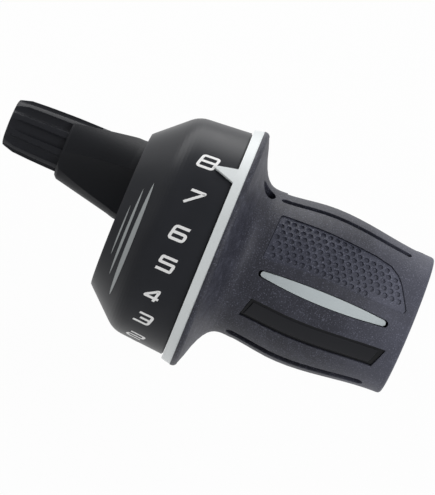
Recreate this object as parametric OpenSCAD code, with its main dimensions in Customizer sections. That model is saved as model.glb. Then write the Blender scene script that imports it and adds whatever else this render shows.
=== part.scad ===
// Twist grip shifter for the right end of a bicycle handlebar, eight gears.
// Millimetres. X runs along the handlebar toward its end, Y points forward, Z up.
// The origin is on the handlebar axis, at the seam between the fixed cover and the turning ring.
// Angles about the bar are called turn angles: 0 is the top, and they grow toward the rider.

/* [Handlebar] */
// Radius of the bore that slides over a 22.2 mm handlebar
bar_bore_r = 11.15; // [11.1:0.01:11.3]
// Gap between the handlebar and the neck beside it
bar_gap = 0.3; // [0.2:0.05:0.4]

/* [Gears] */
// Number of gears
gear_count = 8; // [6:1:8]
// Turn from one gear to the next, in degrees
gear_step = 18.5; // [16:0.5:18.5]
// Turn angle of the pointer in the highest gear
pointer_angle = 26.5; // [22:0.5:28]

/* [Housing] */
// Inboard face of the drum
drum_left = -20.8; // [-22.5:0.1:-20.5]
// Outer radius of the clamp collar
collar_r = 16.8; // [16.4:0.1:17]
// Outboard face of the web that closes the housing
web_right = -12.8; // [-13.1:0.1:-12.5]
// Thickness of the web
web_t = 1.8; // [1.4:0.1:2.2]
// Wall of the sleeve that the grip turns on
sleeve_wall = 1.35; // [1.2:0.05:1.6]
// Outboard end of the sleeve
sleeve_end = 46.5; // [44:0.5:47]

/* [Cover] */
// Wall of the cover
cover_wall = 1.6; // [1.2:0.1:2]
// Radius at the start of the sloping shoulder
cover_foot_r = 19; // [18.6:0.1:19.4]
// Chamfer round the inboard edge
cover_chamfer = 0.4; // [0.2:0.1:0.8]
// Where the shoulder meets the numbered band
crease_x = -12.2; // [-12.6:0.1:-11.8]
// Height of the shoulder, from its foot to the numbered band
shoulder_h = 7.4; // [7.2:0.1:7.6]
// Length of the soft bend at the crease, to each side
crease_blend = 2.2; // [1:0.1:3]
// How much the numbered band widens toward the ring
band_rise = 1; // [0.9:0.1:1.2]
// Gap between the cover and the turning ring
seam_gap = 0.3; // [0.2:0.05:0.5]

/* [Neck and adjuster] */
// Distance of the adjuster's axis in front of the handlebar axis
adjuster_y = 19.2; // [18.9:0.05:19.4]
// Inboard end of the neck
neck_left = -39.2; // [-40:0.1:-38]
// Neck radius at its inboard end
neck_tip_r = 8; // [7.9:0.05:8.2]
// Neck radius at the drum
neck_root_r = 10; // [9.8:0.1:10.2]
// How far the neck's lower side drops at the drum
neck_drop = 2; // [1.2:0.1:2.2]
// Chamfer at the neck's inboard end
neck_chamfer = 0.3; // [0.2:0.05:0.35]
// Height of the neck's flat top over the adjuster's axis, at the inboard end
flat_tip_h = 5.3; // [4.8:0.1:5.6]
// Height of the neck's flat top at the drum
flat_root_h = 8.5; // [8:0.1:8.7]
// Direction of the flat top, as a turn angle
flat_angle = -28; // [-30:1:-26]
// Inboard end of the adjuster knob
knob_left = -53.4; // [-54:0.1:-51]
// Outboard end of the adjuster knob
knob_right = -29.6; // [-30:0.1:-29.2]
// Knob radius at its inboard end
knob_tip_r = 5.8; // [5.4:0.1:6]
// Largest radius of the knob
knob_r = 6.95; // [6.7:0.05:7]
// Number of grip flutes round the knob
flute_count = 10; // [8:1:12]
// Radius of a flute's cutter
flute_r = 1.55; // [1.3:0.05:1.8]
// Depth of a flute at the knob's largest radius
flute_depth = 0.85; // [0.5:0.05:1]
// Depth of a flute at the knob's inboard end
flute_tip_depth = 0.55; // [0.3:0.05:0.7]
// Radius of the adjuster's threaded stem
stem_r = 2.5; // [2.4:0.1:2.7]
// Outboard end of the threaded stem
stem_right = -17.6; // [-18:0.1:-17.4]
// How far the adjuster unscrews
adjuster_travel = 4.5; // [3:0.5:5]

/* [Cable] */
// Radius of the cable's centre line on the spool
cable_wrap_r = 14; // [13.8:0.1:14]
// Radius of the hole that the inner cable runs in
cable_hole_r = 0.9; // [0.8:0.05:1]
// Bend radius of the cable guide
guide_bend_r = 8; // [7.6:0.1:8.2]
// Outer radius of the cable guide
guide_r = 2; // [1.8:0.1:2.1]
// Radius of the socket for the casing's end cap
casing_socket_r = 2.55; // [2.5:0.05:2.6]
// Depth of the socket for the casing's end cap
casing_socket_len = 8; // [6:0.5:9]
// Radius of the pocket for the cable's head
head_pocket_r = 2.35; // [2.2:0.05:2.4]

/* [Ring and pointer] */
// Inboard face of the pale ring
ring_left = 0.6; // [0:0.1:0.7]
// Outboard face of the pale ring
ring_right = 2.9; // [2.7:0.1:3.1]
// How far the ring stands over the cover
ring_step = 0.9; // [0.8:0.1:1.1]
// How much the ring widens toward the grip
ring_rise = 0.5; // [0.3:0.1:0.7]
// Reach of the pointer over the cover
pointer_len = 4.2; // [3.5:0.1:5]
// Width of the pointer at the ring
pointer_w = 3.9; // [3:0.1:4.5]
// Radius of the pointer's tip
pointer_tip_r = 0.55; // [0.4:0.05:0.7]
// Gap between the pointer and the cover
pointer_gap = 0.3; // [0.2:0.05:0.4]
// Thickness of the pointer at its tip
pointer_t = 0.55; // [0.4:0.05:0.7]
// How far the tip leans toward the top
pointer_lean = 0.5; // [0:0.1:0.8]

/* [Grip] */
// Wall of the spool's tube
spool_wall = 1.75; // [1.5:0.05:2]
// Outboard end of the grip
grip_end = 50; // [48:0.1:51]
// Width of the rubber flange's rim
rim_w = 1.5; // [1.2:0.1:1.8]
// How far the rubber flange stands over the ring
rim_step = 0.1; // [0.1:0.1:0.4]
// Rounding of the rim's outboard edge
rim_round = 1.1; // [0.6:0.1:1.2]
// Length of the concave curve from the rim to the tube
flare_len = 7.5; // [6.5:0.1:8.5]
// Sharpness of that curve
flare_power = 3.2; // [2.8:0.1:3.6]
// Radius of the grip just outside the flange
waist_r = 17.7; // [17.4:0.1:17.9]
// Radius of the grip at its fullest
belly_r = 19; // [18.7:0.1:19.1]
// Where the grip is fullest
belly_x = 25.5; // [23:0.5:28]
// Radius of the grip at its end
grip_end_r = 16.75; // [16.6:0.05:17]
// Rounding of the grip's end
grip_end_round = 0.7; // [0.4:0.1:0.9]
// Width of the long groove on top
top_groove_w = 1.7; // [1.4:0.1:2.4]
// Width of the long grooves below and in front
low_groove_w = 2.8; // [2:0.1:3.2]
// Radius at the floor of the long grooves
groove_floor_r = 15.9; // [15.5:0.1:16.4]
// Depth of the dimpled panels
panel_depth = 0.75; // [0.5:0.05:0.9]
// Depth of the badge's face under the rubber
badge_depth = 0.4; // [0.2:0.05:0.5]
// Inboard end of the badge's lower edge
badge_left = 13.1; // [13:0.1:14]
// Outboard end of the badge's upper edge
badge_right = 46.6; // [45:0.1:47]
// How far the badge's short ends slant
badge_slant = 1.3; // [0.5:0.1:2]
// Half width of the badge away from the rider
badge_upper = 2.5; // [2:0.1:3]
// Half width of the badge toward the rider
badge_lower = 2.7; // [2:0.1:3]
// Width of the pale insert
insert_w = 3; // [2.6:0.1:3.2]
// Length of the pale insert
insert_len = 30.2; // [29:0.1:31]
// Radius of the pale insert's tips
insert_tip_r = 0.7; // [0.5:0.05:0.9]
// Gap round the badge and along the insert
trim_gap = 0.15; // [0.1:0.05:0.2]
// Room past each end of the insert
insert_end_gap = 0.6; // [0.3:0.1:0.8]

/* [Hidden] */
$fn = 96;
eps = 0.01;
cut = 60;
running_gap = 0.05;
fixed_gap = 0.02;

// Radii that follow from each other, from the cover's foot out to the flange
crease_r = cover_foot_r + shoulder_h;
band_end_r = crease_r + band_rise;
ring_left_r = band_end_r + ring_step;
ring_right_r = ring_left_r + ring_rise;
rim_r = ring_right_r + rim_step;
cover_end_x = ring_left - seam_gap;

// Sleeve and spool
sleeve_r = bar_bore_r + sleeve_wall;
spool_bore_r = sleeve_r + running_gap;
tube_r = spool_bore_r + spool_wall;
washer_t = 0.7;
washer_w = 2.6;
spool_left = web_right + washer_t + running_gap;
spool_end = grip_end - 0.4;

// Cable spool, detent ring and flange, all on the spool
cable_r = 0.6;
groove_x = -9;
drum_flange_r = cable_wrap_r + 0.9;
washer_r = sleeve_r + washer_w;
drum_right = -6;
detent_x0 = -5.5;
detent_x1 = -2.3;
detent_r = 17.2;
tooth_r = 1.2;
tooth_angle = 240;
flange_x0 = ring_left + 0.3;
flange_r = ring_left_r - 1.9;
ring_key_w = 3;
ring_key_h = 1;

// Leaf spring and the housing's bracket for it
leaf_t = 0.4;
leaf_r = detent_r + 0.7;
leaf_span = 76;
tooth_y = leaf_r + leaf_t / 4;
bracket_r0 = leaf_r + 1.3;
bracket_r1 = bracket_r0 + 2.6;
bracket_span = 84;
bracket_lug = 6;

// Clamp screw and its nut
screw_x = -17;
screw_r = 2.5;
screw_angle = 180;
screw_in = bar_bore_r + 0.05;
screw_len = 6;
nut_w = 8;
nut_t = 3;
nut_in = bar_bore_r + 1.4;
key_hole_r = 2.6;

// Screw that holds the cover, in a boss on the web
cover_screw_angle = 214;
cover_screw_x = crease_x + 5.2;
cover_screw_r = 1.25;
cover_head_r = 2.3;
cover_head_t = 1.2;
cover_screw_len = 7;
boss_r = 2.8;
boss_in = leaf_r + 0.6;
boss_out = band_end_r - cover_wall - 1;
rib_h = 4.2;

// Retaining ring at the sleeve's end
snap_x = sleeve_end - 1.7;
snap_w = 1;
snap_groove = 0.7;
snap_r = sleeve_r + 1.2;

// Adjuster
knob_gap = 0.2;
bore_right = -23.4;
collar_t = 2;
collar_key_w = 1.6;
collar_key_h = 0.9;
collar_key_angles = [45, 225];
spring_wire_r = 0.45;
spring_r = 4.7;
spring_turns = 3;
insert_r = 4;
insert_left = bore_right + 0.1;
insert_right = groove_x - guide_bend_r;
seat_wall = 0.9;

// Cable guide: the cable leaves the spool on a tangent that meets the adjuster's axis
leave_angle = acos(cable_wrap_r / adjuster_y);
guide_wall = 1.6;

// Block that holds the cable's head
head_wrap = 27;
head_start = 6;
head_block_len = 10.4;
head_block_top = cable_wrap_r + 5;
lock_screw_r = 1.5;
lock_screw_t = 8.2;

// Grip decoration, as turn angles
view_angle = 62;
grooves = [[0, top_groove_w], [131.5, low_groove_w], [245, low_groove_w]];
groove_x0 = 13.2;
groove_x1 = 43.7;
well_r = 0.6;
well_floor_r = 15.2;
panel_angles = [37.5, 166, 209, -79, -36];
lens_angle = view_angle + 5;
lens_x = 29.2;
badge_angle = view_angle + 33.5;
pocket_x = 8.9;
pocket_r = 1.9;

// Radius of the rubber's outside at x
function flare(x) = let(t = (x - rim_back) / flare_len)
    t >= 1 ? 0 : (rim_r - waist_r) * pow(1 - max(t, 0), flare_power);
function belly(x) = x < belly_x
    ? waist_r + (belly_r - waist_r) * (1 - cos(180 * (x - waist_x) / (belly_x - waist_x))) / 2
    : grip_end_r + (belly_r - grip_end_r) * (1 + cos(180 * (x - belly_x) / (grip_end - belly_x))) / 2;
rim_back = ring_right + rim_w;
waist_x = rim_back + 0.85 * flare_len;
function grip_r(x) = x < waist_x ? waist_r + flare(x) : belly(x) + flare(x);

// Outside of the cover, from the inboard lip to the seam, as [x, r]
function toward(a, b, d) = a + d * (b - a) / norm(b - a);
cover_end = [cover_end_x, band_end_r];
crease = [crease_x, crease_r];
shoulder_foot = [drum_left + cover_chamfer, cover_foot_r];
blend_a = toward(crease, shoulder_foot, crease_blend);
blend_b = toward(crease, cover_end, crease_blend);
function bend(t) = (1 - t) * (1 - t) * blend_a + 2 * t * (1 - t) * crease + t * t * blend_b;
cover_line = concat([[drum_left, cover_foot_r - cover_chamfer], shoulder_foot],
                    [for (t = [0 : 0.2 : 1]) bend(t)], [cover_end]);
cover_shell = [for (i = [1 : len(cover_line) - 1]) cover_line[i]];

// The line moved inward by d, square to itself
function side(a, b) = [b[1] - a[1], a[0] - b[0]] / norm(b - a);
function inward(line, d) = [for (i = [0 : len(line) - 1])
    let(n1 = side(line[max(i - 1, 0)], line[max(i, 1)]),
        n2 = side(line[min(i, len(line) - 2)], line[min(i + 1, len(line) - 1)]))
    line[i] + d * (n1 + n2) / (1 + n1 * n2)];

// Radius of the numbered band at x
function band_r(x) = crease_r + (band_end_r - crease_r) * (x - crease_x) / (cover_end_x - crease_x);

// Turns a profile drawn as [r, x] about the bar axis
module spin(a = 360, from = 0) rotate([0, 90, 0]) rotate_extrude(angle = a, start = from + 180) children();

// A band between two radii and two places along the bar
module ring2d(x0, x1, r0, r1) translate([r0, x0]) square([r1 - r0, x1 - x0]);

// The area under a line of [x, r] points
module under(line) polygon(concat([[0, line[0][0]]], [for (p = line) [p[1], p[0]]],
                                  [[0, line[len(line) - 1][0]]]));

// Puts things built on the top of the bar at a turn angle
module turned(a) rotate([a, 0, 0]) children();

// A rod or hole along the bar
module rod_x(x0, x1, r, r2 = -1)
    translate([x0, 0, 0]) rotate([0, 90, 0]) cylinder(h = x1 - x0, r1 = r, r2 = r2 < 0 ? r : r2);

// A rod or hole that points away from the bar at place x
module rod_out(x, r0, r1, r) translate([x, 0, r0]) cylinder(h = r1 - r0, r = r);

// A curved rod along the bend of the cable, hollow if it has an inner radius
module bent_rod(r, inner_r = 0, turn = 90) translate([0, adjuster_y, 0]) turned(leave_angle)
    translate([groove_x - guide_bend_r, 0, guide_bend_r]) rotate([90, 0, 0])
        rotate_extrude(angle = turn, start = -90) translate([guide_bend_r, 0]) difference() {
            circle(r = r);
            if (inner_r > 0) circle(r = inner_r);
        }

// A cone or rod from one point to another
module rod_between(p, q, r1, r2) {
    v = q - p;
    translate(p) rotate([0, acos(v[2] / norm(v)), atan2(v[1], v[0])])
        cylinder(h = norm(v), r1 = r1, r2 = r2);
}

// The neck's outside: a leaning cone that closes in a dome inside the drum
neck_tip = [neck_left, adjuster_y, 0];
dome_step = 0.06;
lean = neck_drop / (sin(-flat_angle) + cos(flat_angle));
neck_root = [drum_left, adjuster_y - lean, -lean];
neck_way = (neck_root - neck_tip) / norm(neck_root - neck_tip);
module neck_form(extra = 0) {
    intersection() {
        rod_between(neck_tip - neck_way, neck_root, neck_tip_r + extra, neck_root_r + extra);
        translate([0, adjuster_y, 0])
            rod_x(neck_left, neck_left + cut, neck_tip_r - neck_chamfer + extra, neck_tip_r + cut);
    }
    translate(neck_root) rotate([0, 90, 0]) sphere(r = neck_root_r + dome_step + extra);
}

// What the flat top cuts off the neck
module above_flat(extra = 0) {
    rise = flat_root_h - flat_tip_h;
    run = drum_left - neck_left;
    translate([neck_left, adjuster_y, 0]) turned(flat_angle) translate([0, 0, flat_tip_h + extra])
        rotate([0, -atan(rise / run), 0]) translate([-cut / 2, -cut / 2, 0]) cube([cut / 2 + run, cut, cut]);
}

module neck(extra = 0) difference() {
    neck_form(extra);
    above_flat(extra);
    rod_x(neck_left - 2, drum_left, bar_bore_r + bar_gap - extra);
}

// Space that the turning parts need inside the drum
module spool_room() {
    rod_x(web_right, cut, max(washer_r, drum_flange_r) + 0.3);
    rod_x(drum_right - 0.2, cut, leaf_r - 0.2);
}

// The bracket that carries the leaf spring
module leaf_bracket() {
    x1 = detent_x1 + 0.3;
    spin(bracket_span, tooth_angle - bracket_span / 2) ring2d(web_right - web_t, x1, bracket_r0, bracket_r1);
    for (a = [tooth_angle - bracket_span / 2, tooth_angle + bracket_span / 2 - bracket_lug])
        spin(bracket_lug, a) ring2d(web_right - web_t, x1, leaf_r - 0.3, bracket_r1);
}

// The slots that hold the ends of the leaf spring
module leaf_slots() spin(leaf_span + 1, tooth_angle - leaf_span / 2 - 0.5)
    ring2d(detent_x0 - fixed_gap, cut, leaf_r - fixed_gap, leaf_r + leaf_t + fixed_gap);

module housing_body() color("#26262b") difference() {
    union() {
        spin() difference() {
            union() {
                ring2d(drum_left, web_right, 0, collar_r);
                intersection() {
                    ring2d(web_right - web_t, web_right, 0, cut);
                    under(inward(cover_shell, cover_wall + 0.15));
                }
                ring2d(drum_left, sleeve_end, 0, sleeve_r);
            }
            ring2d(drum_left - 1, sleeve_end + 1, 0, bar_bore_r);
            ring2d(snap_x, snap_x + snap_w, sleeve_r - snap_groove, cut);
        }
        difference() {
            union() {
                neck();
                bent_rod(guide_r + guide_wall, 0, 66);
                translate([0, adjuster_y, 0]) rod_x(bore_right, insert_right, insert_r + guide_wall);
            }
            rod_x(drum_left, cut, collar_r - 1);
            spool_room();
        }
        leaf_bracket();
        // Boss for the cover's screw, with the rib that joins it to the web
        turned(cover_screw_angle) {
            rod_out(cover_screw_x, boss_in, boss_out, boss_r);
            translate([web_right - 0.5, -boss_r, boss_in])
                cube([cover_screw_x - web_right + 0.5, 2 * boss_r, rib_h]);
        }
    }
    // Adjuster's counterbore, key slots and threaded insert
    translate([0, adjuster_y, 0]) {
        rod_x(neck_left - 1, bore_right, knob_r + knob_gap);
        rod_x(bore_right - 1, insert_right + eps, insert_r + fixed_gap);
        rod_x(bore_right, groove_x - guide_bend_r + eps, guide_r + fixed_gap);
        for (a = collar_key_angles) turned(a)
            translate([collar_left - adjuster_travel - 0.4, -collar_key_w / 2 - 0.1, 0])
                cube([bore_right - collar_left + adjuster_travel + 0.4, collar_key_w + 0.2,
                      knob_r + collar_key_h + 0.1]);
    }
    bent_rod(guide_r + fixed_gap);
    leaf_slots();
    // Clamp screw, nut and the way for its key
    turned(screw_angle) {
        rod_out(screw_x, 0, cut, screw_r + running_gap);
        translate([screw_x - nut_w / 2 - fixed_gap, -nut_w / 2 - fixed_gap, nut_in - fixed_gap])
            cube([nut_w + 2 * fixed_gap + 0.4, nut_w + 2 * fixed_gap, nut_t + 2 * fixed_gap]);
    }
    turned(cover_screw_angle) rod_out(cover_screw_x, boss_in + 0.6, cut, cover_screw_r + fixed_gap);
}

module gear_cover() color("#2c2e33") difference() {
    spin() difference() {
        under(cover_line);
        intersection() {
            under(inward(cover_shell, cover_wall));
            ring2d(drum_left + cover_wall, cut, 0, cut);
        }
        ring2d(drum_left - 1, cut, 0, collar_r + 0.15);
    }
    neck_form(0.2);
    turned(screw_angle) rod_out(screw_x, collar_r, cut, key_hole_r);
    turned(cover_screw_angle) {
        rod_out(cover_screw_x, collar_r, cut, cover_screw_r + 0.15);
        rod_out(cover_screw_x, cover_head_r0, cut, cover_head_r + 0.15);
    }
}
cover_head_r0 = band_r(cover_screw_x) - cover_head_t;
collar_left = knob_right + 0.05;

// A cross or hex recess is cut down from the top of a head
module hex_socket(x, r0, r1, across) translate([x, 0, r0])
    cylinder(h = r1 - r0, r = across / 2 / cos(30), $fn = 6);

module cover_screw() color("#8a8c90") turned(cover_screw_angle) difference() {
    union() {
        rod_out(cover_screw_x, cover_head_r0 + fixed_gap, cover_head_r0 + cover_head_t, cover_head_r);
        rod_out(cover_screw_x, cover_head_r0 + cover_head_t - cover_screw_len,
                cover_head_r0 + fixed_gap, cover_screw_r);
    }
    for (a = [0, 90]) translate([cover_screw_x, 0, cover_head_r0 + cover_head_t]) rotate([0, 0, a])
        cube([0.6, 2.6, 1.4], center = true);
}

module clamp_screw() color("#6d6f73") turned(screw_angle) difference() {
    rod_out(screw_x, screw_in, screw_in + screw_len, screw_r);
    hex_socket(screw_x, screw_in + screw_len - 2.5, screw_in + screw_len + 1, 2.5);
}

module clamp_nut() color("#9a9ca0") turned(screw_angle) difference() {
    translate([screw_x - nut_w / 2, -nut_w / 2, nut_in]) cube([nut_w, nut_w, nut_t]);
    rod_out(screw_x, nut_in - 1, nut_in + nut_t + 1, screw_r + running_gap);
}

// A thin arc of steel with a round tooth pressed inward at its middle
module detent_spring() color("#b9bcc0") turned(tooth_angle) translate([detent_x0, 0, 0])
    rotate([90, 0, 90]) linear_extrude(height = detent_x1 - detent_x0) {
        intersection() {
            difference() {
                circle(r = leaf_r + leaf_t);
                circle(r = leaf_r);
            }
            polygon([[0, 0], cut * [-sin(leaf_span / 2), cos(leaf_span / 2)],
                     cut * [sin(leaf_span / 2), cos(leaf_span / 2)]]);
        }
        difference() {
            translate([0, tooth_y]) circle(r = tooth_r);
            translate([0, tooth_y + cut / 2 + leaf_t / 2]) square(cut, center = true);
            translate([0, tooth_y]) circle(r = tooth_r - leaf_t);
        }
    }

module thrust_washer() color("#e9e6dc") spin()
    ring2d(web_right, web_right + washer_t, sleeve_r + 0.1, washer_r);

module cable_guide() color("#e8e8e4") difference() {
    bent_rod(guide_r, cable_hole_r);
    rod_x(web_right, cut, max(washer_r, drum_flange_r) + 0.2);
}

module adjuster_insert() color("#b08d45") translate([0, adjuster_y, 0]) difference() {
    rod_x(insert_left, insert_right, insert_r);
    rod_x(insert_left - 1, insert_right + 1, stem_r + running_gap);
}

module retaining_ring() color("#55575b") difference() {
    spin() ring2d(snap_x + fixed_gap, snap_x + snap_w - fixed_gap, sleeve_r - snap_groove + fixed_gap, snap_r);
    turned(180) translate([snap_x - 1, -1.6, 0]) cube([snap_w + 2, 3.2, cut]);
}

module spool() color("#3a3b40") difference() {
    union() {
        spin() difference() {
            union() {
                ring2d(spool_left, spool_end, 0, tube_r);
                ring2d(spool_left, drum_right, 0, drum_flange_r);
                ring2d(detent_x0, detent_x1, 0, detent_r);
                ring2d(flange_x0, ring_right, 0, flange_r);
            }
            ring2d(groove_x - cable_r - 0.2, groove_x + cable_r + 0.2, cable_wrap_r - cable_r, cut);
        }
        // Block for the cable's head, on the line on which the cable leaves the groove
        turned(head_angle) translate([spool_left + 0.15, -head_block_len, cable_wrap_r - 3])
            cube([drum_right - spool_left + 0.15, head_block_len + 3, head_block_top - cable_wrap_r + 3]);
    }
    spin() ring2d(spool_left - 1, cut, 0, spool_bore_r);
    spin() ring2d(snap_x - 0.2, cut, 0, snap_r + 0.2);
    // Notches, one for each gear
    for (g = [0 : gear_count - 1]) turned(tooth_angle - g * gear_step)
        translate([0, 0, tooth_y]) rod_x(detent_x0 - 1, detent_x1 + 1, tooth_r + 0.15);
    // Seats for the ring's keys
    for (a = [0 : 120 : 240]) turned(a) translate([flange_x0 - 1, -ring_key_w / 2 - fixed_gap,
            flange_r - ring_key_h - fixed_gap])
        cube([cut, ring_key_w + 2 * fixed_gap, cut]);
    // Cable hole and pocket for the cable's head, and the screw that holds it
    turned(head_angle) translate([groove_x, 0, cable_wrap_r]) {
        rotate([90, 0, 0]) translate([0, 0, -3.1]) cylinder(h = cut, r = cable_hole_r - 0.1);
        rotate([90, 0, 0]) translate([0, 0, head_start]) cylinder(h = cut, r = head_pocket_r);
    }
    turned(head_angle) translate([0, -lock_screw_t, 0])
        rod_out(groove_x, cable_wrap_r, cut, lock_screw_r + running_gap);
}
head_angle = leave_angle - 90 + head_wrap;

module cable_lock_screw() color("#6d6f73") turned(head_angle) translate([0, -lock_screw_t, 0]) difference() {
    rod_out(groove_x, cable_wrap_r + head_pocket_r + 0.1, head_block_top, lock_screw_r);
    hex_socket(groove_x, head_block_top - 1.4, head_block_top + 1, 1.5);
}

module pointer_ring() color("#d7dcdb") {
    spin() polygon([[flange_r + fixed_gap, ring_left], [ring_left_r, ring_left], [ring_right_r, ring_right],
                    [flange_r + fixed_gap, ring_right]]);
    for (a = [0 : 120 : 240]) intersection() {
        turned(a) translate([flange_x0, -ring_key_w / 2, flange_r - ring_key_h])
            cube([ring_right - flange_x0, ring_key_w, ring_key_h + 0.5]);
        rod_x(ring_left, ring_right, ring_left_r - 0.5);
    }
    // The pointer, a thin tongue over the cover
    tip_x = pointer_tip_r - pointer_len;
    intersection() {
        turned(pointer_angle) linear_extrude(height = cut) union() {
            polygon([[ring_left + 1, -pointer_w / 2], [ring_left + 1, pointer_w / 2], [ring_left, pointer_w / 2],
                     [tip_x, pointer_lean + pointer_tip_r], [tip_x, pointer_lean - pointer_tip_r],
                     [ring_left, -pointer_w / 2]]);
            translate([tip_x, pointer_lean]) circle(r = pointer_tip_r);
        }
        spin() polygon([[band_r(-pointer_len) + pointer_gap, -pointer_len],
                        [band_r(ring_left) + pointer_gap, ring_left],
                        [band_r(ring_left) + pointer_gap, ring_left + 0.6],
                        [ring_left_r, ring_left + 0.6], [ring_left_r, ring_left],
                        [band_r(-pointer_len) + pointer_gap + pointer_t, -pointer_len]]);
    }
}

// The rubber's outside, with its rim rounded; depth sinks it for recesses
module grip_area(depth = 0) {
    steps = 14;
    rim = [for (a = [0 : 15 : 90]) [rim_back - rim_round + rim_round * sin(a),
                                    rim_r - rim_round + rim_round * cos(a) - depth]];
    flare_line = [for (i = [1 : 10]) let(x = rim_back + flare_len * i / 10) [x, grip_r(x) - depth]];
    body = [for (i = [1 : steps]) let(x = rim_back + flare_len
                + (grip_end - grip_end_round - rim_back - flare_len) * i / steps) [x, grip_r(x) - depth]];
    corner = [for (a = [30 : 30 : 90]) [grip_end - grip_end_round + grip_end_round * sin(a),
                    grip_end_r - grip_end_round + grip_end_round * cos(a) - depth]];
    under(concat([[ring_right, rim_r - depth]], rim, flare_line, body, corner));
}

// An outline drawn on the grip at a turn angle, cut straight in
module on_grip(a) turned(a) linear_extrude(height = cut) children();

// Dimpled panel's outline: v runs toward the rider
module panel_outline() hull() for (p = [[14.2, -5.4], [24, -5.2], [36.5, -4.7], [40.5, -4], [42.6, -2.6],
                                        [43.8, -1.1], [46.8, 4.2], [13.7, 5]])
    translate([p[0], -p[1]]) circle(r = 0.7, $fn = 24);

// The insert's outline: two long arcs that run into round tips
function lens_half(len, w, tip) = let(
    reach = len - tip,
    arc_r = (reach * reach + w * w - tip * tip) / (2 * (w - tip)),
    turn = asin(reach / (arc_r - tip)))
    concat([for (i = [0 : 9]) let(a = turn * i / 9) [arc_r * sin(a), w - arc_r * (1 - cos(a))]],
           [for (i = [1 : 4]) let(a = turn + (90 - turn) * i / 4) [reach + tip * sin(a), tip * cos(a)]]);
module lens_outline(side_gap = 0, end_gap = 0) {
    half = lens_half(insert_len / 2 + end_gap, insert_w / 2 + side_gap, insert_tip_r + side_gap);
    last = len(half) - 1;
    translate([lens_x, 0]) polygon(concat(
        half, [for (i = [last - 1 : -1 : 0]) [half[i][0], -half[i][1]]],
        [for (i = [1 : last]) [-half[i][0], -half[i][1]]], [for (i = [last - 1 : -1 : 1]) [-half[i][0], half[i][1]]]));
}

module badge_outline(extra = 0) polygon([[badge_left - extra, -badge_lower - extra],
                                         [badge_left + badge_slant - extra, badge_upper + extra],
                                         [badge_right + extra, badge_upper + extra],
                                         [badge_right - badge_slant - 0.4 + extra, -badge_lower - extra]]);

module grip_rubber() color("#47464e") difference() {
    spin() difference() {
        grip_area();
        ring2d(0, cut, 0, tube_r + fixed_gap);
    }
    for (g = grooves) turned(g[0]) translate([0, 0, groove_floor_r]) linear_extrude(height = cut) {
        translate([groove_x0, -g[1] / 2]) square([groove_x1 - groove_x0, g[1]]);
        for (x = [groove_x0, groove_x1]) translate([x, 0]) circle(r = g[1] / 2);
    }
    // Deep pocket where the first groove runs into the flange, and a well at its other end
    turned(grooves[0][0]) {
        rod_out(pocket_x, groove_floor_r, cut, pocket_r);
        rod_out(groove_x1, well_floor_r, cut, well_r);
    }
    for (a = panel_angles) difference() {
        on_grip(a) panel_outline();
        spin() grip_area(panel_depth);
    }
    on_grip(lens_angle) lens_outline(trim_gap, insert_end_gap);
    on_grip(badge_angle) badge_outline(trim_gap);
}

module seated(a, depth) intersection() {
    on_grip(a) children();
    spin() difference() {
        grip_area(depth);
        ring2d(0, cut, 0, tube_r + fixed_gap);
    }
}

// The insert stands a little proud at its middle and dips under the rubber at its tips
module lens_insert() color("#ccd3d2") intersection() {
    on_grip(lens_angle) lens_outline();
    spin() difference() {
        under([for (i = [-1 : 0.1 : 1]) let(x = lens_x + i * (insert_len / 2 + 0.1))
            [x, grip_r(x) + 0.15 - 0.6 * i * i]]);
        ring2d(0, cut, 0, tube_r + fixed_gap);
    }
}

module grip_badge() color("#232327") seated(badge_angle, badge_depth) badge_outline();

module adjuster_collar() color("#d8d5cc") translate([0, adjuster_y, 0]) difference() {
    union() {
        rod_x(collar_left, collar_left + collar_t, knob_r);
        for (a = collar_key_angles) turned(a) translate([collar_left, -collar_key_w / 2, stem_r + 1])
            cube([collar_t, collar_key_w, knob_r + collar_key_h - stem_r - 1]);
    }
    rod_x(collar_left - 1, collar_left + collar_t + 1, stem_r + 0.1);
}

// A round wire wound about the adjuster's axis
module adjuster_spring() color("#a9acb0") {
    x0 = collar_left + collar_t + spring_wire_r;
    x1 = bore_right - spring_wire_r;
    steps = 24 * spring_turns;
    sides = 8;
    ring_points = [for (i = [0 : steps]) for (k = [0 : sides - 1])
        let(a = 360 * i / 24, b = 360 * k / sides, r = spring_r + spring_wire_r * cos(b))
        [x0 + (x1 - x0) * i / steps + spring_wire_r * sin(b), r * cos(a), r * sin(a)]];
    walls = [for (i = [0 : steps - 1]) for (k = [0 : sides - 1])
        [i * sides + k, i * sides + (k + 1) % sides, (i + 1) * sides + (k + 1) % sides, (i + 1) * sides + k]];
    first = [for (k = [sides - 1 : -1 : 0]) k];
    last = [for (k = [0 : sides - 1]) steps * sides + k];
    translate([0, adjuster_y, 0]) polyhedron(points = ring_points, faces = concat(walls, [first, last]));
}

module adjuster_barrel() color("#2b2b30") translate([0, adjuster_y, 0]) difference() {
    union() {
        spin() under([[knob_left, knob_tip_r - 0.7], [knob_left + 0.2, knob_tip_r - 0.2],
                      [knob_left + 0.7, knob_tip_r], [knob_left + 3, knob_tip_r + 0.65],
                      [knob_left + 7, knob_r - 0.25], [knob_left + 11, knob_r - 0.1],
                      [knob_left + 15, knob_r], [knob_right, knob_r]]);
        rod_x(knob_right - 1, stem_right, stem_r);
    }
    // Flutes, which follow the knob's taper and end short of its hidden end
    flute_start = [knob_left, 0, knob_tip_r + flute_r - flute_tip_depth];
    flute_end = [knob_right - 3, 0, knob_r + flute_r - flute_depth];
    for (i = [0 : flute_count - 1]) turned(i * 360 / flute_count - 8)
        rod_between(flute_start + 0.1 * (flute_start - flute_end), flute_end, flute_r, flute_r);
    rod_x(knob_left - 1, knob_left + casing_socket_len + 1, casing_socket_r + seat_wall + fixed_gap);
    rod_x(knob_left - 1, stem_right + 1, cable_hole_r + 0.1);
}

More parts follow.
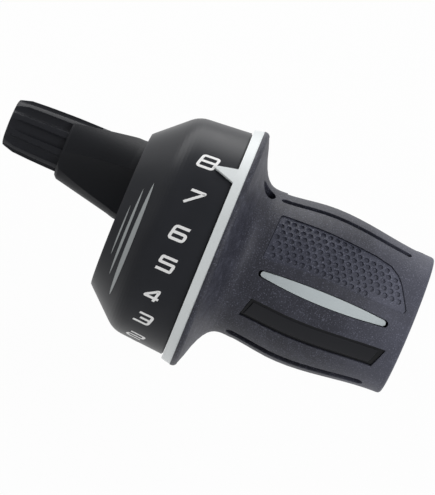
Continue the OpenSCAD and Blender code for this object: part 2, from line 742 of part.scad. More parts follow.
module casing_seat() color("#8f9296") translate([0, adjuster_y, 0]) difference() {
    rod_x(knob_left + 0.3, knob_left + casing_socket_len + 1 - fixed_gap, casing_socket_r + seat_wall);
    rod_x(knob_left - 1, knob_left + 0.3 + casing_socket_len, casing_socket_r);
    rod_x(knob_left, knob_right, cable_hole_r + 0.1);
}

housing_body();
gear_cover();
cover_screw();
clamp_screw();
clamp_nut();
detent_spring();
thrust_washer();
cable_guide();
adjuster_insert();
retaining_ring();
spool();
cable_lock_screw();
pointer_ring();
grip_rubber();
lens_insert();
grip_badge();
adjuster_collar();
adjuster_spring();
adjuster_barrel();
casing_seat();
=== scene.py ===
# %% [markdown]
# # A twist shifter, dressed in Blender
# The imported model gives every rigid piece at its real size. This script adds what a maker would
# see last: finishes, printed gear digits and lines, a lip in the seam, the dimpled grip pads, a bare
# plate on the badge, and the light to look at them by.
# The frame is loaded first, because every later step measures itself against it.

# %% Load the frame
import math

import bmesh
import bpy
from mathutils import Matrix, Vector
from mathutils.bvhtree import BVHTree
from mathutils.geometry import delaunay_2d_cdt


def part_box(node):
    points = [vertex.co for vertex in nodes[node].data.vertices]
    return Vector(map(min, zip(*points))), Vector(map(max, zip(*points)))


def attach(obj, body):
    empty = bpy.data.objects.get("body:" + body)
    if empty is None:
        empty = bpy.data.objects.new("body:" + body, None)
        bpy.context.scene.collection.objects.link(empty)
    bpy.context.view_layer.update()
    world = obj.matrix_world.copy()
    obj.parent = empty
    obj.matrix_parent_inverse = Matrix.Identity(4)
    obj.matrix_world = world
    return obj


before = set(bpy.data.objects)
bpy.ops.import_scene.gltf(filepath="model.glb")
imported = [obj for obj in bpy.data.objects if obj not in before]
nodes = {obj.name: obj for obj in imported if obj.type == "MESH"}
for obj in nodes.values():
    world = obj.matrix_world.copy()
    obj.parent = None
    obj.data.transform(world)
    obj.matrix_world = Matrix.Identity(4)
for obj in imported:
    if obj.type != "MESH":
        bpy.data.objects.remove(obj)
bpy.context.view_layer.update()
MM = 0.001

# %% [markdown]
# ## Shader maths as plain expressions
# A finish is easier to read as `grain * 0.4 + speckle` than as a dozen node links. One small class
# wraps an output socket and turns the usual operators into Math nodes. Anything else goes through
# one method that takes a node's type, its settings and its inputs.

# %% A socket that understands arithmetic
class Wire:
    def __init__(self, graph, socket):
        self.graph, self.socket = graph, socket

    def _math(self, operation, *values):
        return self.graph.node("ShaderNodeMath", {"operation": operation}, dict(enumerate(values)))

    def __add__(self, other): return self._math("ADD", self, other)
    def __radd__(self, other): return self._math("ADD", other, self)
    def __sub__(self, other): return self._math("SUBTRACT", self, other)
    def __rsub__(self, other): return self._math("SUBTRACT", other, self)
    def __mul__(self, other): return self._math("MULTIPLY", self, other)
    def __rmul__(self, other): return self._math("MULTIPLY", other, self)
    def or_more(self, other): return self._math("MAXIMUM", self, other)


# %% A node tree in which one method makes every node
class Graph:
    def __init__(self, tree):
        self.tree = tree

    def node(self, kind, settings, inputs, output=0):
        made = self.tree.nodes.new(kind)
        for key, value in settings.items():
            setattr(made, key, value)
        for key, value in inputs.items():
            if isinstance(value, Wire):
                self.tree.links.new(value.socket, made.inputs[key])
            else:
                made.inputs[key].default_value = value
        return Wire(self, made.outputs[output])

    def feed(self, wire, socket):
        self.tree.links.new(wire.socket, socket)


# %% A finish: one material with its shader
class Finish(Graph):
    def __init__(self, name, color, roughness, metallic=0.0, **uniform):
        self.material = bpy.data.materials.new(name)
        self.material.use_nodes = True
        super().__init__(self.material.node_tree)
        self.shader = self.tree.nodes["Principled BSDF"]
        self.shader.inputs["Base Color"].default_value = (*color, 1)
        self.shader.inputs["Roughness"].default_value = roughness
        self.shader.inputs["Metallic"].default_value = metallic
        for socket, value in uniform.items():
            self.shader.inputs[socket.replace("_", " ")].default_value = value
        self.color, self.soft_normal = color, None
        self.place = self.node("ShaderNodeTexCoord", {}, {}, "Object")

    def noise(self, size_mm, detail=2.0, stretch=None):
        place = self.place
        if stretch:
            place = self.node("ShaderNodeVectorMath", {"operation": "MULTIPLY"}, {0: place, 1: stretch})
        return self.node("ShaderNodeTexNoise", {},
                         {"Vector": place, "Scale": 1 / (size_mm * MM), "Detail": detail}, "Fac")

    def steps(self, wire, low, high):
        return self.node("ShaderNodeMapRange", {"interpolation_type": "SMOOTHSTEP"},
                         {"Value": wire, "From Min": low, "From Max": high}, "Result")

    def tint(self, amount, other):
        """Mixes the base colour toward another by a wire."""
        mixed = self.node("ShaderNodeMix", {"data_type": "RGBA"},
                          {"Factor": amount, 6: (*self.color, 1), 7: (*other, 1)}, 2)
        self.feed(mixed, self.shader.inputs["Base Color"])

    def rough(self, wire):
        self.feed(wire, self.shader.inputs["Roughness"])

    def soft_edges(self, radius_mm):
        """Rounds sharp edges for the light, and returns a mask that is 1 on them."""
        self.soft_normal = self.node("ShaderNodeBevel", {"samples": 4}, {"Radius": radius_mm * MM})
        plain = self.node("ShaderNodeNewGeometry", {}, {}, "Normal")
        match = self.node("ShaderNodeVectorMath", {"operation": "DOT_PRODUCT"},
                          {0: self.soft_normal, 1: plain}, "Value")
        return self.steps(1 - match, 0.01, 0.16)

    def bump(self, height, depth_mm, strength=1.0):
        inputs = {"Height": height, "Distance": depth_mm * MM, "Strength": strength}
        if self.soft_normal:
            inputs["Normal"] = self.soft_normal
        self.feed(self.node("ShaderNodeBump", {}, inputs, "Normal"), self.shader.inputs["Normal"])


# %% [markdown]
# ## Colours
# A photo gives colours as they appear on a screen, and Cycles works in linear light. One function
# converts, so that each finish below can be written with the screen values that the eye knows.

# %% Screen colour to linear light
def screen(r, g, b):
    def channel(c):
        c /= 255
        return c / 12.92 if c <= 0.04045 else ((c + 0.055) / 1.055) ** 2.4
    return tuple(channel(c) for c in (r, g, b))


# %% [markdown]
# ## Moulded plastics
# The housing and the adjuster are glass-filled nylon from a spark-eroded mould: nearly black, with
# a fine even tooth and soft highlights. The cover is the same black but polished in the mould, so
# it is smoother under a trace of clear coat, and its roughness wanders a little, as handled plastic
# does. Here black plastic also looks right only with less reflection than the shader's usual four
# percent, so its specular level is lower.
# Moulded edges are never knife sharp: a Bevel node turns the normal over each edge, and the place
# where that normal leaves the plain one is the edge, so the same node gives the mask that lightens
# the edges, as wear and as a painted highlight.

# %% Matte and gloss blacks
def moulded(name, color, roughness, tooth_mm=0.22, depth_mm=0.02):
    finish = Finish(name, color, roughness, Specular_IOR_Level=0.1)
    edge_wear_and_highlight = finish.soft_edges(0.25)
    tooth = finish.noise(tooth_mm, 3)
    cloud = finish.noise(9, 2)
    scuffs = finish.steps(finish.noise(1.6, 5, (0.25, 1, 1)), 0.66, 0.8)
    # the edges are painted lighter: wear, and a painted highlight; clouds and scuffs are the plastic's own
    finish.tint(cloud * 0.4 + scuffs * 0.5 + edge_wear_and_highlight * 0.5, tuple(c * 2.1 for c in color))
    finish.rough(cloud * 0.16 + scuffs * 0.1 + (roughness - 0.08))
    finish.bump(tooth, depth_mm)
    return finish.material


housing_black = moulded("neck_black", screen(30, 31, 34), 0.5)
knob_black = moulded("knob_black", screen(34, 35, 39), 0.42, 0.18, 0.015)
core_black = moulded("core_black", screen(50, 50, 54), 0.5)


def polished_cover():
    finish = Finish("cover_gloss", screen(26, 28, 33), 0.38, Specular_IOR_Level=0.13,
                    Coat_Weight=0.02, Coat_Roughness=0.25)
    edge_wear_and_highlight = finish.soft_edges(0.2)
    cloud = finish.noise(7, 3)
    hairlines = finish.steps(finish.noise(0.5, 4, (0.06, 1, 1)), 0.68, 0.8)
    # the edges are painted lighter: wear, and a painted highlight; clouds and hairlines are the cover's own
    finish.tint(cloud * 0.3 + hairlines * 0.2 + edge_wear_and_highlight * 0.6, screen(56, 57, 62))
    finish.rough(cloud * 0.12 + hairlines * 0.12 + 0.3)
    finish.bump(finish.noise(0.5, 2), 0.003)
    return finish.material


cover_gloss = polished_cover()

# %% [markdown]
# ## Rubber
# The grip is soft rubber with a violet cast. Under a lens its surface is a fine grain with pale
# specks, and it has no more than a broad dull sheen. A fine noise makes the grain, and a sharper
# one the specks.
# Rubber also polishes and greys where hands rub it, so a slow noise lightens it in patches. The
# outer end is painted paler as painted light from the right, and the flange beside the ring carries
# soft pale streaks of painted highlight.

# %% Grip rubber
FLANGE_HIGHLIGHT_X, LIT_END_X = (5, 12), (30, 50)    # mm along the bar: the flange's painted highlight fades out, the outer end's painted light fades in


def grained_rubber(name, base, speck, rubbed, edge_mm):
    finish = Finish(name, base, 0.55, Specular_IOR_Level=0.33)
    edge_wear_and_highlight = finish.soft_edges(edge_mm)
    grain = finish.noise(0.28, 4)
    cloud = finish.noise(4.5, 4)
    specks = finish.steps(finish.noise(0.3, 1), 0.54, 0.76)
    along = finish.node("ShaderNodeSeparateXYZ", {}, {0: finish.place}, "X")
    # the pale streaks on the flange are a painted highlight
    flange_highlight_zone = 1 - finish.steps(along, FLANGE_HIGHLIGHT_X[0] * MM, FLANGE_HIGHLIGHT_X[1] * MM)
    flange_highlight_streaks = finish.steps(finish.noise(2.2, 3, (2.4, 0.7, 0.7)), 0.5, 0.75) * flange_highlight_zone
    # the outer end is painted lighter: painted light from the right
    painted_light_end = finish.steps(along, LIT_END_X[0] * MM, LIT_END_X[1] * MM)
    # specks and rubbed patches are the rubber's own; the streaks, the lighter end and the lighter edges are
    # painted light, the edges also wear
    finish.tint(specks * 0.55 + finish.steps(cloud, 0.4, 0.75) * rubbed + flange_highlight_streaks * 0.2 + painted_light_end * 0.34
                + edge_wear_and_highlight * 0.25, speck)
    finish.rough(grain * 0.2 + 0.44)
    finish.bump(grain + specks * 0.5, 0.05)
    return finish.material


rubber = grained_rubber("grip_rubber", screen(34, 35, 45), screen(110, 112, 128), 0.1, 0.3)
# the pads are the same rubber on a lighter base: painted light for the lit faces of their dimples
pad_rubber_painted_lighter = grained_rubber("pad_rubber_painted_lighter", screen(50, 52, 65), screen(126, 128, 145), 0.08, 0.04)

# %% [markdown]
# ## Pale plastics, paint and metal
# The ring is a satin silver-grey moulding with a faint pearl grain, and its edges stay brighter, as
# wear and as a painted highlight. The insert is smoother. The digits are pad-printed white ink.
# Screws and springs are steel with turning marks, and the bush in the neck is brass.

# %% Pale and metallic finishes
def satin(name, color, roughness, depth_mm=0.006, gloss=0.5):
    finish = Finish(name, color, roughness, Specular_IOR_Level=gloss)
    edge_wear_and_highlight = finish.soft_edges(0.15)
    cloud = finish.noise(6, 3)
    grain = finish.steps(finish.noise(0.35, 2), 0.5, 0.8)
    # the edges are spared the darkening, so they stay lighter: wear, and a painted highlight
    finish.tint((cloud * 0.6 + grain * 0.3) * (1 - edge_wear_and_highlight), tuple(c * 0.86 for c in color))
    finish.rough(cloud * 0.1 + (roughness - 0.05))
    finish.bump(grain, depth_mm)
    return finish.material


def turned_metal(name, color, roughness):
    finish = Finish(name, color, roughness, metallic=1.0)
    lines = finish.noise(0.4, 4, (6.0, 1.0, 1.0))
    finish.tint(lines * 0.4, tuple(c * 0.7 for c in color))
    finish.rough(lines * 0.2 + (roughness - 0.1))
    finish.bump(lines, 0.006)
    return finish.material


ring_grey = satin("ring_grey", screen(236, 241, 242), 0.42, 0.01)
insert_grey = satin("insert_grey", screen(200, 209, 212), 0.22)
slide_white = satin("slide_white", screen(226, 222, 208), 0.5)
badge_black = satin("badge_black", screen(22, 23, 26), 0.34, gloss=0.15)
plate_black = satin("plate_black", screen(27, 28, 33), 0.3, gloss=0.18)
white_ink = satin("white_ink", screen(254, 254, 254), 0.5)
grey_ink = satin("grey_ink", screen(168, 173, 174), 0.45)
steel = turned_metal("bright_steel", screen(190, 192, 196), 0.32)
dark_steel = turned_metal("dark_steel", screen(92, 94, 98), 0.38)
brass = turned_metal("bush_brass", screen(196, 164, 96), 0.3)

# %% Finishes on the carried-over pieces
node_finish = {
    "housing_body": housing_black, "gear_cover": cover_gloss, "cover_screw": steel,
    "clamp_screw": dark_steel, "clamp_nut": steel, "detent_spring": steel,
    "thrust_washer": slide_white, "cable_guide": slide_white, "adjuster_insert": brass,
    "retaining_ring": dark_steel, "spool": core_black, "cable_lock_screw": dark_steel,
    "pointer_ring": ring_grey, "grip_rubber": rubber, "lens_insert": insert_grey,
    "grip_badge": badge_black, "adjuster_collar": slide_white, "adjuster_spring": steel,
    "adjuster_barrel": knob_black, "casing_seat": dark_steel,
}
for name, finish in node_finish.items():
    for slot in nodes[name].material_slots:
        slot.material = finish
print("finishes set on", len(node_finish), "pieces")

# %% [markdown]
# ## Finding the surface
# Everything printed or moulded onto the drum and the grip has to sit on a curved surface. A ray
# shot at the bar's axis finds that surface, so nothing needs the profile a second time. Places are
# given by x along the bar and by the turn angle: 0 is the top, and it grows toward the rider.

# %% Rays toward the bar's axis
OUTSIDE_MM = 50    # farther from the axis than any part of the shifter


def tree_of(node):
    mesh = nodes[node].data
    return BVHTree.FromPolygons([v.co for v in mesh.vertices], [p.vertices for p in mesh.polygons])


def radial(turn):
    return Vector((0, -math.sin(turn), math.cos(turn)))


def surface_radius(tree, x, turn):
    """Radius of the surface, in mm, at x mm and a turn angle in radians."""
    out = radial(turn)
    on_axis = Vector((x * MM, 0, 0))
    hit = tree.ray_cast(on_axis + out * (OUTSIDE_MM * MM), -out)[0]
    return (hit - on_axis).length / MM


def spot(x, turn, r):
    return Vector((x, 0, 0)) * MM + radial(turn) * (r * MM)


def piece_from(name, verts, faces, finish, body, smooth=True):
    mesh = bpy.data.meshes.new(name)
    mesh.from_pydata(verts, [], faces)
    mesh.materials.append(finish)
    if smooth:
        mesh.polygons.foreach_set("use_smooth", [True] * len(mesh.polygons))
    mesh.update()
    made = bpy.data.objects.new(name, mesh)
    bpy.context.scene.collection.objects.link(made)
    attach(made, body)
    return made


# %% [markdown]
# ## Printed strokes
# A printed digit is a band of ink of even width that bends with the drum. Each stroke is a path of
# points: its corners are rounded, it is cut into short steps, and at each step the band's two edges
# are found square to the path. The ink is a film, so its edge drops back into the cover.

# %% Paths with round corners
SIDE_SHARE = 1 / 2.2    # of a side, at most, is taken up by the rounding at one of its ends


def rounded(path, radius, closed=False, steps=4):
    points, count = [], len(path)
    for i, corner in enumerate(path):
        corner = Vector(corner)
        if not closed and i in (0, count - 1):
            points.append(corner)
            continue
        before, after = Vector(path[i - 1]), Vector(path[(i + 1) % count])
        r_in = min(radius, (before - corner).length * SIDE_SHARE, (after - corner).length * SIDE_SHARE)
        a = corner + (before - corner).normalized() * r_in
        b = corner + (after - corner).normalized() * r_in
        for k in range(steps + 1):
            t = k / steps
            points.append(a * (1 - t) ** 2 + corner * 2 * t * (1 - t) + b * t ** 2)
    return points


def divided(points, step, closed=False):
    out = []
    pairs = list(zip(points, points[1:] + points[:1])) if closed else list(zip(points, points[1:]))
    for a, b in pairs:
        parts = max(1, round((b - a).length / step))
        out += [a.lerp(b, k / parts) for k in range(parts)]
    return out if closed else out + [points[-1]]


# %% A band of ink on a surface
INK_MM = 0.035


def ink_band(points, widths, place, closed, verts, faces):
    """Adds a band to verts and faces. place(u, v, lift) puts a flat point on the surface."""
    count, base = len(points), len(verts)
    for i, p in enumerate(points):
        before = points[i - 1] if closed or i else p
        after = points[(i + 1) % count] if closed or i < count - 1 else p
        along = (after - before).normalized()
        side = Vector((-along.y, along.x))
        bend = 1.0
        if before != p and after != p:
            half = (p - before).normalized().dot((after - p).normalized())
            bend = 1 / max(0.5, math.sqrt(max(0.0, (1 + half) / 2)))
        for sign, lift in ((1, -INK_MM), (1, INK_MM), (-1, INK_MM), (-1, -INK_MM)):
            q = p + side * (sign * widths[i] / 2 * bend)
            verts.append(place(q.x, q.y, lift))
    rings = count if closed else count - 1
    for i in range(rings):
        a, b = base + 4 * i, base + 4 * ((i + 1) % count)
        for k in range(3):
            faces.append((a + k, a + k + 1, b + k + 1, b + k))
    if not closed:
        faces.append(tuple(base + k for k in (3, 2, 1, 0)))
        last = base + 4 * (count - 1)
        faces.append(tuple(last + k for k in range(4)))


# %% [markdown]
# ## Gear digits
# The digits are wide, squared and slanted, and each reads along the bar. A digit is drawn in a box
# one unit wide and high, then scaled and slanted. Bars inside a digit end at the inner edge of the
# stroke that they meet, so no ink lies on ink.

# %% Digit shapes
STROKE_W, SLANT = 0.68, 0.23


def strokes_of(digit, w, h):
    """Centre lines of a digit in a box w wide and h high, and whether each is a closed loop."""
    u, v = STROKE_W / 2 / w, STROKE_W / 2 / h
    return {
        "1": [([(0.25, 0.8), (0.6, 1), (0.6, 0)], False)],
        "2": [([(0, 1), (1, 1), (1, 0.5), (0, 0.5), (0, 0), (1, 0)], False)],
        "3": [([(0.05, 1), (1, 1), (1, 0), (0, 0)], False), ([(0.3, 0.5), (1 - u, 0.5)], False)],
        "4": [([(0.78, 0), (0.78, 1), (0.02, 0.28), (0.78 - u, 0.28)], False),
              ([(0.78 + u, 0.28), (1.02, 0.28)], False)],
        "5": [([(1, 1), (0, 1), (0, 0.55), (1, 0.55), (1, 0), (0, 0)], False)],
        "6": [([(1, 1), (0, 1), (0, 0), (1, 0), (1, 0.52), (u, 0.52)], False)],
        "7": [([(0.1, 1), (1, 1), (0.12, 0)], False)],
        "8": [([(0, 0), (1, 0), (1, 1), (0, 1)], True), ([(u, 0.5), (1 - u, 0.5)], False)],
    }[digit]


# Each digit's turn angle in degrees, place along the bar, width and height of its centre lines
digit_layout = {"8": (23, -6.2, 3.6, 3.4), "7": (44, -6.2, 3.7, 3.3), "6": (62.6, -6.05, 3.3, 2.95),
                "5": (78.4, -6.15, 3.45, 3.05), "4": (96.3, -6.5, 3.5, 3.3),
                "3": (113.2, -6.5, 3.5, 3.3), "2": (133.5, -6.7, 3.4, 3.4), "1": (152.5, -6.7, 3.0, 3.4)}

# Corner radius of the strokes in mm, smaller where a digit would read as a letter
CORNER_MM, STEP_MM = 0.6, 0.4
corner_radius = {"5": 0.25, "7": 0.3}

# %% Print the digits
cover_tree = tree_of("gear_cover")
ink_verts, ink_faces = [], []
for digit, (middle_deg, digit_x, w, h) in digit_layout.items():
    middle = math.radians(middle_deg)
    middle_r = surface_radius(cover_tree, digit_x, middle)

    def on_band(u, v, lift):
        x, turn = digit_x + u + v * SLANT, middle - v / middle_r
        return spot(x, turn, surface_radius(cover_tree, x, turn) + lift)

    for path, closed in strokes_of(digit, w, h):
        scaled = [((u - 0.5) * w, (v - 0.5) * h) for u, v in path]
        line = divided(rounded(scaled, corner_radius.get(digit, CORNER_MM), closed), STEP_MM, closed)
        ink_band(line, [STROKE_W] * len(line), on_band, closed, ink_verts, ink_faces)
piece_from("gear_digits", ink_verts, ink_faces, white_ink, "housing", False)
print("digits:", len(ink_faces), "faces")

# %% [markdown]
# ## Lines on the cone
# The sloping shoulder of the cover is decorated in pale grey ink. Here it carries a plain pattern
# of speed lines round the cone, each a band that swells from a point and tapers back to one.

# %% Print the speed lines
# Each line's place along the bar, turn angles in degrees from and to, and width at its middle
cone_lines = ((-15.6, 42, 116, 1.1), (-17.3, 46, 104, 0.6), (-18.6, 58, 92, 0.35))
TIP_HALF_MM, SWELL, LINE_STEPS = 0.02, 0.6, 44
line_verts, line_faces = [], []


def on_cone(x, turn, lift):
    return spot(x, turn, surface_radius(cover_tree, x, turn) + lift)


for line_x, turn_from, turn_to, width in cone_lines:
    base = len(line_verts)
    for i in range(LINE_STEPS + 1):
        t = i / LINE_STEPS
        turn = math.radians(turn_from + (turn_to - turn_from) * t)
        half = max(TIP_HALF_MM, width / 2 * math.sin(math.pi * t) ** SWELL)
        for sign, lift in ((-1, -INK_MM), (-1, INK_MM), (1, INK_MM), (1, -INK_MM)):
            line_verts.append(on_cone(line_x + sign * half, turn, lift))
    for i in range(LINE_STEPS):
        a = base + 4 * i
        line_faces += [(a + k, a + k + 1, a + k + 5, a + k + 4) for k in range(3)]
    line_faces.append((base + 3, base + 2, base + 1, base))
    last = base + 4 * LINE_STEPS
    line_faces.append((last, last + 1, last + 2, last + 3))
piece_from("cone_lines", line_verts, line_faces, grey_ink, "housing", False)
print("lines:", len(cone_lines), "with", len(line_faces), "faces")

# %% [markdown]
# ## A lip in the seam
# The fixed cover and the turning ring are a hair apart, yet the photo shows no light between them.
# So the cover's end is taken to lap into that gap, which keeps grit out too. The lip is a turned
# ring: a section of four points is swept round the bar, and it stops short of the pale ring.

# %% Turn the lip
# In mm: how far it reaches into the seam and into the cover, how far below the cover's surface it
# lies, and its height. The last value is its number of sides round the bar.
LIP_LAP, LIP_ROOT, LIP_BELOW, LIP_H, LIP_SIDES = 0.2, 0.1, 0.3, 1.0, 160
PLAIN_SPOT = (0.05, math.radians(-60))    # mm inside the cover's end, and a turn angle with no print
cover_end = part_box("gear_cover")[1][0] / MM
lip_top = surface_radius(cover_tree, cover_end - PLAIN_SPOT[0], PLAIN_SPOT[1]) - LIP_BELOW
lip_section = ((cover_end - LIP_ROOT, lip_top), (cover_end - LIP_ROOT, lip_top - LIP_H),
               (cover_end + LIP_LAP, lip_top - LIP_H), (cover_end + LIP_LAP, lip_top))
lip_verts = [spot(x, 2 * math.pi * i / LIP_SIDES, r) for i in range(LIP_SIDES) for x, r in lip_section]
lip_faces = [(4 * i + k, 4 * i + (k + 1) % 4, 4 * ((i + 1) % LIP_SIDES) + (k + 1) % 4,
              4 * ((i + 1) % LIP_SIDES) + k) for i in range(LIP_SIDES) for k in range(4)]
lip = piece_from("cover_lip", lip_verts, lip_faces, cover_gloss, "housing", False)
lip_mesh = bmesh.new()
lip_mesh.from_mesh(lip.data)
if lip_mesh.calc_volume(signed=True) < 0:
    bmesh.ops.reverse_faces(lip_mesh, faces=lip_mesh.faces)
print("lip volume, mm3:", round(lip_mesh.calc_volume(signed=True) / MM ** 3, 1))
lip_mesh.to_mesh(lip.data)
lip_mesh.free()

# %% [markdown]
# ## Dimpled grip pads
# Each recess in the rubber holds a pad covered with small round dimples in staggered rows. The
# model keeps the plain recess, and the pad is added here as its own skin. It is laid out flat: the
# outline and every dimple's circles go into a constrained triangulation, which joins them with
# clean triangles and keeps each rim a true circle. The flat net is then bent onto the grip.

# %% The pad's outline, set in from the recess
# Turn angles in degrees, then in mm how far the pad's face and the foot of its border lie below the
# rubber. The corners are in mm along the bar and toward the rider.
PAD_TURNS = (37.5, 166, 209, -79, -36)
PAD_SINK, PAD_FLOOR = 0.3, 0.77
pad_corners = [(14.2, -5.4), (24, -5.2), (36.5, -4.7), (40.5, -4), (42.6, -2.6), (43.8, -1.1),
               (46.8, 4.2), (13.7, 5)]
CORNER_R = 0.58


def swept_outline(corners, radius, step):
    """The outline of a disc rolled round a convex polygon, as evenly spaced points."""
    outline, count = [], len(corners)
    for i in range(count):
        before, here, after = (Vector(corners[(i + k) % count]) for k in (-1, 0, 1))
        turn_in = math.atan2(here.y - before.y, here.x - before.x) - math.pi / 2
        turn_out = math.atan2(after.y - here.y, after.x - here.x) - math.pi / 2
        bend = (turn_out - turn_in) % (2 * math.pi)
        parts = max(1, round(bend / 0.3))
        for k in range(parts + 1):
            a = turn_in + bend * k / parts
            outline.append(here + Vector((math.cos(a), math.sin(a))) * radius)
    return divided(outline, step, True)


pad_outline = swept_outline(pad_corners, CORNER_R, 0.5)
print("pad outline:", len(pad_outline), "points")

# %% Where the dimples go
# LAND is the least plain rubber between a dimple and the pad's edge, all in mm
DIMPLE_R, DIMPLE_DEPTH, PITCH, ROW_PITCH, LAND = 0.63, 0.42, 1.72, 1.48, 0.1
FIRST_X, FIRST_V, ROW_SHIFT, HALF_ROWS, COLUMNS = 12.6, -0.2, 0.06, 4, 24


def edge_distance(point):
    """How far a point lies inside the pad's edge, or less than nothing outside it."""
    corners = [Vector(corner) for corner in pad_corners]
    return CORNER_R + min((b - a).normalized().cross(point - a)
                          for a, b in zip(corners, corners[1:] + corners[:1]))


dimples = []
for row in range(-HALF_ROWS, HALF_ROWS + 1):
    for column in range(COLUMNS):
        place = Vector((FIRST_X + (column + (row % 2) / 2) * PITCH - row * ROW_SHIFT,
                        row * ROW_PITCH + FIRST_V))
        if edge_distance(place) > DIMPLE_R + LAND:
            dimples.append(place)
print("dimples on a pad:", len(dimples))

# %% The flat net
# Each circle of a dimple: share of its radius, share of its depth, number of sides
pit_rings = ((1.0, 0.0, 16), (0.86, 0.85, 16), (0.5, 1.0, 8))
net_points, net_edges, net_depths = list(pad_outline), [], [0.0] * len(pad_outline)
net_edges += [(i, (i + 1) % len(pad_outline)) for i in range(len(pad_outline))]
for place in dimples:
    for scale, depth, sides in pit_rings:
        base = len(net_points)
        for k in range(sides):
            a = 2 * math.pi * k / sides
            net_points.append(place + Vector((math.cos(a), math.sin(a))) * (DIMPLE_R * scale))
            net_depths.append(depth * DIMPLE_DEPTH)
        net_edges += [(base + k, base + (k + 1) % sides) for k in range(sides)]
    net_points.append(place)
    net_depths.append(DIMPLE_DEPTH)
net = delaunay_2d_cdt(net_points, net_edges, [], 1, 1e-6)
flat_points, flat_faces, origins = net[0], net[2], net[3]
flat_depths = [max((net_depths[k] for k in origin), default=0.0) for origin in origins]
print("net:", len(flat_points), "points,", len(flat_faces), "triangles")

# %% Bend the net onto the grip
SHARP_DEG = 32    # an edge that bends more than this stays crisp
grip_tree = tree_of("grip_rubber")
PLAIN_TURN = math.radians(12)    # between the first groove and the first pad, where nothing is cut
outline_ids = {origin[0]: i for i, origin in enumerate(origins) if origin and origin[0] < len(pad_outline)}
plain_radius = [surface_radius(grip_tree, p.x, PLAIN_TURN) for p in flat_points]


def onto_grip(turn, x, v, r):
    """A point v mm toward the rider from a turn angle, measured straight across."""
    toward_rider = Vector((0, -math.cos(turn), -math.sin(turn)))
    return Vector((x, 0, 0)) * MM + (radial(turn) * math.sqrt(r * r - v * v) + toward_rider * v) * MM


for number, pad_turn in enumerate(PAD_TURNS, 1):
    turn = math.radians(pad_turn)
    verts = [onto_grip(turn, p.x, p.y, r - PAD_SINK - d)
             for p, r, d in zip(flat_points, plain_radius, flat_depths)]
    faces = [tuple(face) for face in flat_faces]
    skirt = len(verts)
    loop = [outline_ids[i] for i in range(len(pad_outline)) if i in outline_ids]
    verts += [onto_grip(turn, flat_points[i].x, flat_points[i].y, plain_radius[i] - PAD_FLOOR) for i in loop]
    for k in range(len(loop)):
        n = (k + 1) % len(loop)
        faces.append((loop[k], skirt + k, skirt + n, loop[n]))
    pad = piece_from("grip_pad_%d" % number, verts, faces, pad_rubber_painted_lighter, "grip")
    shell = bmesh.new()
    shell.from_mesh(pad.data)
    bmesh.ops.recalc_face_normals(shell, faces=shell.faces)
    if sum(face.normal.dot(radial(turn)) * face.calc_area() for face in shell.faces) < 0:
        bmesh.ops.reverse_faces(shell, faces=shell.faces)
    shell.to_mesh(pad.data)
    shell.free()
    pad.data.set_sharp_from_angle(angle=math.radians(SHARP_DEG))
print("pads:", len(PAD_TURNS))

# %% [markdown]
# ## The badge's bare plate
# A long plate stands a little over the badge's face. It is a net of lines that crowd together at
# its border, where the surface climbs quickly, so the edge is round and the field stays plain.

# %% Raise the plate
# BADGE_R, in mm, turns a width on the badge into an angle. RIM_MM is how wide the border climbs.
BADGE_TURN, BADGE_R, PLATE_RISE = math.radians(95.5), 18, 0.22
RIM_MM = 0.36
plate_corners = [Vector(c) for c in ((14.95, -1.9), (45.3, -1.9), (44.1, 2.1), (13.75, 2.1))]
badge_tree = tree_of("grip_badge")


def crowded(length, parts):
    """Places from 0 to length that crowd at both ends, with how high the plate is at each."""
    rim = [(0, -0.3), (0.05, 0.35), (0.12, 0.7), (0.22, 0.92), (RIM_MM, 1)]
    field = [(RIM_MM + (length - 2 * RIM_MM) * k / parts, 1) for k in range(1, parts)]
    return rim + field + [(length - at, rise) for at, rise in reversed(rim)]


PLATE_L, PLATE_W = 30.35, 4.0
plate_along, plate_across = crowded(PLATE_L, 30), crowded(PLATE_W, 6)
plate_verts, plate_faces = [], []
for x_mm, rise_x in plate_along:
    for v_mm, rise_v in plate_across:
        near = plate_corners[0].lerp(plate_corners[1], x_mm / PLATE_L)
        far = plate_corners[3].lerp(plate_corners[2], x_mm / PLATE_L)
        flat = near.lerp(far, v_mm / PLATE_W)
        r = surface_radius(badge_tree, flat.x, BADGE_TURN + math.asin(flat.y / BADGE_R))
        plate_verts.append(onto_grip(BADGE_TURN, flat.x, flat.y, r + PLATE_RISE * min(rise_x, rise_v)))
across = len(plate_across)
for i in range(len(plate_along) - 1):
    for k in range(across - 1):
        a = i * across + k
        plate_faces.append((a, a + across, a + across + 1, a + 1))
piece_from("badge_plate", plate_verts, plate_faces, plate_black, "grip")
print("plate:", len(plate_faces), "faces")

# %% [markdown]
# ## Floor, backdrop and light
# The shifter floats before white paper. A plain pale floor lies well below it, so its shadow stays
# soft. Rays from the camera and in reflections see the floor and the world as white, while the
# light on the piece itself stays plain: a broad soft lamp above and behind it, one from the front
# right, since the dots and the pocket in the photo look lit from there, and a weak one at the left.

# %% Floor and world
def white_for_the_eye(graph, shader, keep=0.0):
    """Mixes a shader with white light for rays from the camera and in mirrors."""
    eye, mirror, glass = (graph.node("ShaderNodeLightPath", {}, {}, ray)
                          for ray in ("Is Camera Ray", "Is Glossy Ray", "Is Transmission Ray"))
    glow = graph.node("ShaderNodeEmission", {}, {"Color": (1, 1, 1, 1)})
    seen = eye.or_more(mirror.or_more(glass)) * (1 - keep)
    return graph.node("ShaderNodeMixShader", {}, {0: seen, 1: shader, 2: glow})


FLOOR_Z, FLOOR_SIZE, SHADOW_KEPT, AMBIENT = -0.075, 4.0, 0.05, 0.3
bpy.ops.mesh.primitive_plane_add(size=FLOOR_SIZE, location=(0, 0, FLOOR_Z))
floor = bpy.context.object
floor.name = "floor"
paper = Finish("paper", (0.7, 0.7, 0.7), 0.9)
paper.feed(white_for_the_eye(paper, Wire(paper, paper.shader.outputs[0]), SHADOW_KEPT),
           paper.tree.nodes["Material Output"].inputs["Surface"])
floor.data.materials.append(paper.material)

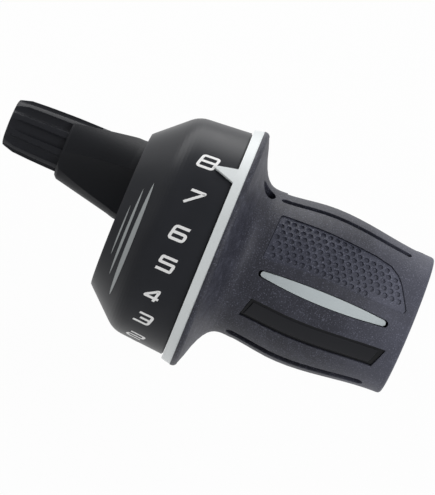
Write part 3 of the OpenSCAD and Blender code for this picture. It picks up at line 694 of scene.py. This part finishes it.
world = bpy.data.worlds.new("studio")
bpy.context.scene.world = world
world.use_nodes = True
sky = Graph(world.node_tree)
ambient = sky.node("ShaderNodeBackground", {}, {"Color": (1, 1, 1, 1), "Strength": AMBIENT})
sky.feed(white_for_the_eye(sky, ambient), sky.tree.nodes["World Output"].inputs["Surface"])


# %% Lamps
def softbox(name, place, aim, size, watts):
    lamp = bpy.data.lights.new(name, "AREA")
    lamp.shape = "RECTANGLE"
    lamp.size, lamp.size_y = size
    lamp.energy = watts
    made = bpy.data.objects.new(name, lamp)
    made.location = place
    made.rotation_euler = (Vector(aim) - Vector(place)).to_track_quat("-Z", "Y").to_euler()
    bpy.context.scene.collection.objects.link(made)


softbox("top_lamp", (-0.3, 0.5, 0.52), (0, 0, 0), (0.8, 0.45), 4.6)
softbox("front_lamp", (0.62, -0.5, 0.52), (0, 0, 0), (0.5, 0.5), 3.9)
softbox("left_lamp", (-0.8, -0.2, 0.35), (0, 0, 0), (0.4, 0.6), 0.35)

# %% [markdown]
# ## The camera
# The view that fits the photo is square to the handlebar, from 28 degrees above the level and
# 0.68 m away, with the camera rolled so that the grip end points down to the right.

# %% Place the camera
ELEVATION, ROLL = math.radians(28), math.radians(22.35)
DISTANCE, LONG_SIDE_MM, SENSOR_MM = 0.684, 113.8, 36.0
AIM_X_MM, AIM_UP_MM = 2.9, 0.13
back = Vector((0, -math.cos(ELEVATION), math.sin(ELEVATION)))
level_up = Vector((0, math.sin(ELEVATION), math.cos(ELEVATION)))
right = Vector((math.cos(ROLL), 0, 0)) + level_up * math.sin(ROLL)
up = Vector((-math.sin(ROLL), 0, 0)) + level_up * math.cos(ROLL)
aim = Vector((AIM_X_MM, 0, 0)) * MM + level_up * AIM_UP_MM * MM
lens = bpy.data.cameras.new("camera")
lens.sensor_fit = "VERTICAL"
lens.sensor_height = SENSOR_MM
lens.lens = SENSOR_MM * DISTANCE / (LONG_SIDE_MM * MM)
camera = bpy.data.objects.new("camera", lens)
turn_matrix = Matrix((right, up, back)).transposed().to_4x4()
camera.matrix_world = Matrix.Translation(aim + back * DISTANCE) @ turn_matrix
bpy.context.scene.collection.objects.link(camera)
bpy.context.scene.camera = camera
bpy.context.scene.view_settings.view_transform = "Standard"
